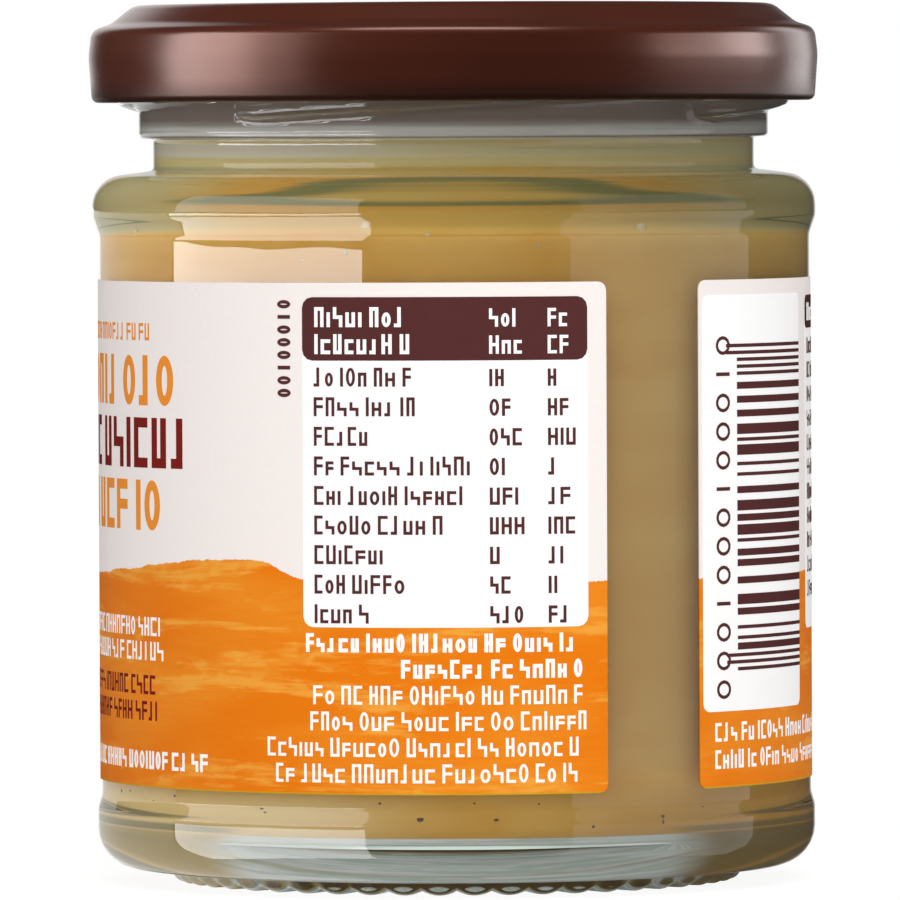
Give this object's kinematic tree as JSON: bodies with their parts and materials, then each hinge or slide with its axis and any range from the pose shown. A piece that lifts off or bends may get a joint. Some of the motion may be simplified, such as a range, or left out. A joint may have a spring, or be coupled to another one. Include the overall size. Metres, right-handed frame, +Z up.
{
  "type": "jar of cashew butter",
  "caption": "Squat glass jar filled with cashew butter, closed by a lug twist-off metal lid, with a printed label round its body.",
  "frame": {"origin": "middle of the foot ring, on the surface that the jar stands on", "axes": "+Z up along the jar's axis, -Y towards the front of the label, +X to the right seen from the front"},
  "size_m": [0.0694, 0.0694, 0.0832],
  "materials": {
    "clear_glass": "clear flint glass, smooth and glossy",
    "cashew_butter": "thick ground nut paste, soft sheen",
    "lacquered_lid": "dark brown satin lacquer on pressed tinplate",
    "label_paper": "coated label paper with a soft sheen, printed in flat colours"
  },
  "bodies": {
    "root": {"glass_jar": "clear_glass", "cashew_butter": "cashew_butter", "twist_lid": "lacquered_lid", "wrap_label": "label_paper"}
  },
  "joints": []
}
